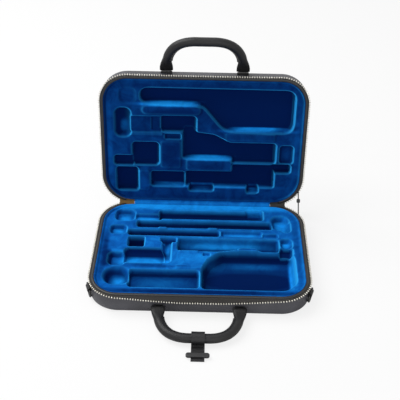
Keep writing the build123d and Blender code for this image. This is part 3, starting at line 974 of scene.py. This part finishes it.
def handleSeam(half):
    # closing seam along the inner side of the grip, with a row of stitches on each side
    path, side, inPlane, width, up = handleRuns[half]
    pin, reach = handleAxes(half)
    middle = pin + reach * 18
    inward = unit(middle - path)
    inward = inPlane * np.sign((inward * inPlane).sum(1))[:, None]
    keep = up > handle["seamFrom"]
    run = (path + inward * (width + 0.2)[:, None])[keep]
    run, length = evenly(run, 150)
    sideDir = np.repeat(side[:1], 150, axis=0)
    points, faces = sweepRing(run, sideDir, circlePoints(10), np.full(150, 1.1), np.full(150, 1.4))
    seam = meshPiece(half + "HandleSeam", points, faces, handleLeather)
    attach(seam, half + "_handle")
    count = int(length / handle["stitchPitch"])
    shape, small = roundedBlock(1.3, 0.45, 0.4, power=2.5, nu=6, nv=3)
    stitches, groups = [], []
    for lift in (2.2, -2.2):
        line, _ = evenly((path + inward * (width * 0.93)[:, None] + side * lift)[keep], count)
        tangent = unit(np.gradient(line, axis=0))
        facing = np.repeat(side[:1], count, axis=0)
        pts, grp = copyShape(shape, small, line, tangent, facing, np.cross(tangent, facing))
        shift = sum(len(s) for s in stitches)
        stitches.append(pts)
        groups += [g + shift for g in grp]
    thread = meshPiece(half + "HandleStitches", np.vstack(stitches), groups, threadBlack)
    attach(thread, half + "_handle")


def handleTabs(half):
    # a folded leather tab behind each foot, with its short wire, in place of the wide lugs
    pin = handleAxes(half)[0]
    along = halfAxes[half][0]
    shape, small = roundedBlock(*handle["tab"], power=5.0, nu=24, nv=9)
    rod, rodFaces = roundedBlock(*handle["wire"], power=6.0, nu=20, nv=7)
    for tag, s in (("left", -1), ("right", 1)):
        foot = pin + s * handle["span"] * xAxis
        points, groups = placeBlock(shape, small, foot - along * handle["tabBack"], half)
        tab = meshPiece(half + "HandleTab" + tag.capitalize(), points, groups, handleLeather)
        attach(tab, half)
        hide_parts(half + "_handle_lug_" + tag)
        points, groups = placeBlock(rod, rodFaces, foot, half)
        wire = meshPiece(half + "HandleWire" + tag.capitalize(), points, groups, blackMetal)
        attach(wire, half)
        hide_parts(half + "_handle_pin_" + tag)


for half in ("base", "lid"):
    handleSeam(half)
    handleTabs(half)
print("handles made")


# wrap on the base grip

wrap = {"width": 10.0, "thick": 1.6, "gap": 1.0, "reach": 36.0}


def gripWrap():
    # strap profile in the side plane: loop round the grip, then two layers lying forward
    pin, reach = handleAxes("base")
    grip = pin + reach * handle["rise"]
    inner = handle["gripRadius"] + wrap["gap"]
    outer = inner + wrap["thick"]
    a = np.linspace(math.radians(-32), math.radians(270), 60)
    loopOut = np.stack([outer * np.cos(a), outer * np.sin(a)], 1)
    tailLow = np.stack([np.linspace(0, wrap["reach"], 24), np.full(24, -outer)], 1)[1:]
    tailLine = np.linspace(wrap["reach"], outer * 0.92, 24)
    tailTop = np.stack([tailLine, np.full(24, -outer + 2 * wrap["thick"])], 1)
    outline = np.vstack([loopOut, tailLow, tailTop])
    bore = np.stack([inner * np.cos(a), inner * np.sin(a)], 1)
    bore = evenly(np.vstack([bore, bore[:1]]), len(outline))[0]
    forward = np.array([0.0, -1.0, 0.0])
    up = np.array([0.0, 0.0, 1.0])
    outer3 = outline[:, :1] * forward + outline[:, 1:] * up
    bore3 = bore[:, :1] * forward + bore[:, 1:] * up
    w = wrap["width"]
    sections = ((-w, bore3), (-w, outer3), (-w + 0.5, outer3), (w - 0.5, outer3), (w, outer3), (w, bore3))
    rows = [grip + x * xAxis + ring for x, ring in sections]
    pts = np.stack(rows, 1)
    faces = [gridFaces(len(outline), 6, closeU=True, closeV=True)]
    strap = meshPiece("gripWrapStrap", pts.reshape(-1, 3), faces, handleLeather)
    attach(strap, "wrap")
    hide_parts("handle_wrap")
    # stitched edge on the tail
    count = 9
    shape, small = roundedBlock(1.4, 0.45, 0.4, power=2.5, nu=6, nv=3)
    line = np.linspace(outer + 3, wrap["reach"] - 3, count)
    above = -outer + 2 * wrap["thick"] + 0.15
    origins = grip + (w - 1.8) * xAxis + line[:, None] * forward + above * up
    ones = np.ones((count, 1))
    points, groups = copyShape(shape, small, origins, ones * forward, ones * xAxis, ones * up)
    thread = meshPiece("gripWrapStitches", points, groups, threadBlack)
    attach(thread, "wrap")


gripWrap()
print("wrap made")


# strips and cord that cross the hinge

crossing = {
    "halfLength": 117.5,
    "tailEnd": 143.0,
    "spineThick": 1.2,
    "stayX": 164.0,
    "stayV": 40.0,
    "stayRadius": 0.95,
    "clip": (3.0, 2.0, 3.4),
    "stud": (2.2, 2.2, 0.9),
    "studDepth": 2.5,
    "stripRows": 60,
    "tailRows": 24,
    "tailThick": 0.8,
}


def crossStrip(name, sideCurve, thick, lift, material, node):
    # a side-view curve given as (y, z) points, thickened towards lift and run along x
    line = curveThrough(np.array(sideCurve, dtype=float), 40)
    tangent = unit(np.gradient(line, axis=0))
    normal = np.stack([-tangent[:, 1], tangent[:, 0]], 1) * lift
    profile = np.vstack([line, (line + normal * thick)[::-1]])
    n, m = crossing["stripRows"], len(profile)
    xs = np.linspace(-crossing["halfLength"], crossing["halfLength"], n)
    pts = np.stack(np.broadcast_arrays(xs[:, None], profile[None, :, 0], profile[None, :, 1]), -1)
    pts[..., 2] += 0.12 * np.sin(xs * 0.11)[:, None]
    faces = [gridFaces(n, m, closeV=True)] + endCaps(n, m)
    # the velvet lining strip gets no painted highlight, a little painted shade and a fixed level of painted
    # light
    fields = {key: np.full(n * m, value) for key, value in (("edge", 0.0), ("paintedShade", 0.1), ("paintedLightAndShade", 0.3))}
    strip = meshPiece(name, pts.reshape(-1, 3), faces, material, fields=fields)
    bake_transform(strip)
    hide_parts(node)


def sidePoint(half, v, deep):
    return onHalf(half, 0.0, float(v), -float(deep))[1:]


crossStrip(
    "hingeSpine",
    [sidePoint("base", -0.15, d) for d in (22, 16, 10, 5.5)]
    + [sidePoint("lid", -0.15, d) for d in (5.5, 10, 16, 22)],
    crossing["spineThick"], -1.0, shellLeather, "hinge_spine",
)
crossStrip(
    "liningStrip",
    [sidePoint("base", v, 2.8) for v in (6.4, 4.4, 2.2)] + [sidePoint("lid", v, 2.8) for v in (2.2, 4.4, 6.4)],
    1.2, 1.0, velvetBlue, "lining_strip",
)


def zipTail(name, side, material):
    # short end of the zipper tape that closes the gap beside the hinge and follows the corner
    radius = caseSize["rearRadius"]
    xs = np.linspace(crossing["halfLength"] + 0.4, crossing["tailEnd"], crossing["tailRows"])
    bulge = radius - np.sqrt(radius**2 - np.maximum(xs - (caseSize["width"] / 2 - radius), 0) ** 2)
    rows = []
    for x, shift in zip(xs, bulge):
        curve = [sidePoint("base", v + shift, 2.9) for v in (5.2, 3.4, 1.4)]
        curve += [sidePoint("lid", v + shift, 2.9) for v in (1.4, 3.4, 5.2)]
        line = curveThrough(np.array(curve, dtype=float), 24)
        tangent = unit(np.gradient(line, axis=0))
        normal = np.stack([-tangent[:, 1], tangent[:, 0]], 1)
        flat = np.vstack([line, (line + normal * crossing["tailThick"])[::-1]])
        rows.append(np.stack([np.full(len(flat), side * x), flat[:, 0], flat[:, 1]], -1))
    pts = np.stack(rows, 0)
    n, m = pts.shape[:2]
    faces = [gridFaces(n, m, closeV=True)] + endCaps(n, m)
    if side < 0:
        faces = [f[:, ::-1] for f in faces]
    tail = meshPiece(name, pts.reshape(-1, 3), faces, material)
    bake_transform(tail)


zipTail("zipTailLeft", -1, tailBronze)
zipTail("zipTailRight", 1, zipTape)


def lidStay():
    # taut braided cord between the two anchors, and the clip that holds its doubled end
    low, high = (onHalf(half, crossing["stayX"], crossing["stayV"], -2.0) for half in ("base", "lid"))
    n = 90
    t = np.linspace(0, 1, n)[:, None]
    path = low * (1 - t) + high * t
    braid = crossing["stayRadius"] * (1 + 0.06 * np.sin(np.linspace(0, 90, n)))
    points, faces = sweepRing(path, np.repeat(xAxis[None], n, 0), circlePoints(12), braid, braid)
    cord = meshPiece("lidStayCord", points, faces, stayCord)
    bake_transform(cord)
    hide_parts("lid_stay")
    middle = low * 0.45 + high * 0.55
    along = unit(high - low)
    shape, small = roundedBlock(*crossing["clip"], power=4.0, nu=12, nv=6)
    across = np.cross(along, xAxis)
    points, groups = copyShape(shape, small, middle[None], xAxis[None], across[None], along[None])
    clip = meshPiece("stayClip", points, groups, blackPlastic)
    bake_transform(clip)
    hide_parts("stay_clip")


def stayStuds():
    # small round studs on the two rims that hold the ends of the cord
    shape, small = roundedBlock(*crossing["stud"], power=3.0, nu=20, nv=7)
    for half in ("base", "lid"):
        at = onHalf(half, crossing["stayX"], crossing["stayV"], -crossing["studDepth"])
        points, groups = placeBlock(shape, small, at, half)
        stud = meshPiece(half + "StayStud", points, groups, blackPlastic)
        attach(stud, half)
        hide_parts(half + "_stay_anchor")


lidStay()
stayStuds()
print("hinge strips and stay made")


# materials on the frame's own nodes


def dress(node, material):
    mesh = nodes[node].data
    mesh.materials.clear()
    mesh.materials.append(material)


for node, material in {
    "lid_shell": shellLeather,
    "wrap_bar": blackPlastic,
    "zipper_slider": brassMetal,
    "slider_pull": brassMetal,
    "zipper_stop": brassMetal,
}.items():
    dress(node, material)
for name in nodes:
    if name.startswith("ring_loop"):
        dress(name, handleLeather)
    if name.startswith("side_ring"):
        dress(name, blackMetal)
print("frame nodes dressed")


# floor, light and camera

# the floor takes part of its brightness from emission on camera rays, so it stays white and keeps the shadow
stageSize = {"floor": 6.0, "cameraGlow": 0.8, "worldFill": 0.42, "worldSeen": 1.0}
floorMesh = bpy.data.meshes.new("floor")
s = stageSize["floor"]
floorMesh.from_pydata([(-s, -s, 0), (s, -s, 0), (s, s, 0), (-s, s, 0)], [], [(0, 1, 2, 3)])
floor = bpy.data.objects.new("floor", floorMesh)
collection.objects.link(floor)
floorMat, tree, shader = newMaterial("floorWhite")
shader.inputs["Base Color"].default_value = (0.92, 0.92, 0.92, 1)
shader.inputs["Roughness"].default_value = 0.9
lit = addNode(tree, "ShaderNodeEmission", Strength=1.0)
watch = addNode(tree, "ShaderNodeLightPath")
share = addNode(tree, "ShaderNodeMath", operation="MULTIPLY")
share.inputs[1].default_value = stageSize["cameraGlow"]
tree.links.new(watch.outputs["Is Camera Ray"], share.inputs[0])
join = addNode(tree, "ShaderNodeMixShader")
tree.links.new(share.outputs[0], join.inputs[0])
tree.links.new(shader.outputs[0], join.inputs[1])
tree.links.new(lit.outputs[0], join.inputs[2])
tree.links.new(join.outputs[0], tree.nodes["Material Output"].inputs["Surface"])
floorMesh.materials.append(floorMat)

world = bpy.data.worlds.new("studio")
bpy.context.scene.world = world
world.use_nodes = True
sky = world.node_tree
rays = addNode(sky, "ShaderNodeLightPath")
seen = addNode(sky, "ShaderNodeMath", operation="MAXIMUM")
sky.links.new(rays.outputs["Is Camera Ray"], seen.inputs[0])
sky.links.new(rays.outputs["Is Transmission Ray"], seen.inputs[1])
seenGloss = addNode(sky, "ShaderNodeMath", operation="MAXIMUM")
sky.links.new(seen.outputs[0], seenGloss.inputs[0])
sky.links.new(rays.outputs["Is Glossy Ray"], seenGloss.inputs[1])
level = addNode(sky, "ShaderNodeMapRange")
level.inputs["To Min"].default_value = stageSize["worldFill"]
level.inputs["To Max"].default_value = stageSize["worldSeen"]
sky.links.new(seenGloss.outputs[0], level.inputs["Value"])
background = sky.nodes["Background"]
background.inputs["Color"].default_value = (1, 1, 1, 1)
sky.links.new(level.outputs["Result"], background.inputs["Strength"])


def areaLamp(name, at, target, size, watts):
    lamp = bpy.data.lights.new(name, "AREA")
    lamp.energy = watts
    lamp.size = size
    holder = bpy.data.objects.new(name, lamp)
    collection.objects.link(holder)
    holder.location = at
    holder.rotation_euler = (Vector(target) - Vector(at)).to_track_quat("-Z", "Y").to_euler()


areaLamp("keyLamp", (-1.1, 0.35, 1.8), (0, 0.05, 0.1), 1.5, 34)
areaLamp("frontLamp", (0.3, -2.0, 1.0), (0, 0, 0.1), 1.8, 10)

shot = {
    "place": (0.01011169801388, -0.98888926369, 0.88469726234),
    "ahead": (-0.01009229, 0.79462568, -0.6070158),
    "roll": 0.0149,
    "focal": 802.0,
    "pixels": 400,
}
ahead = Vector(shot["ahead"]).normalized()
sideways = ahead.cross(Vector((0, 0, 1))).normalized()
upward = sideways.cross(ahead)
turned = math.cos(shot["roll"]) * sideways + math.sin(shot["roll"]) * upward
lifted = -math.sin(shot["roll"]) * sideways + math.cos(shot["roll"]) * upward
lens = bpy.data.cameras.new("shot")
lens.lens = shot["focal"] / shot["pixels"] * lens.sensor_width
camera = bpy.data.objects.new("shot", lens)
collection.objects.link(camera)
turn = Matrix((turned, lifted, -ahead)).transposed().to_4x4()
camera.matrix_world = Matrix.Translation(Vector(shot["place"])) @ turn
bpy.context.scene.camera = camera
bpy.context.scene.view_settings.view_transform = "Standard"
print("stage, light and camera set")
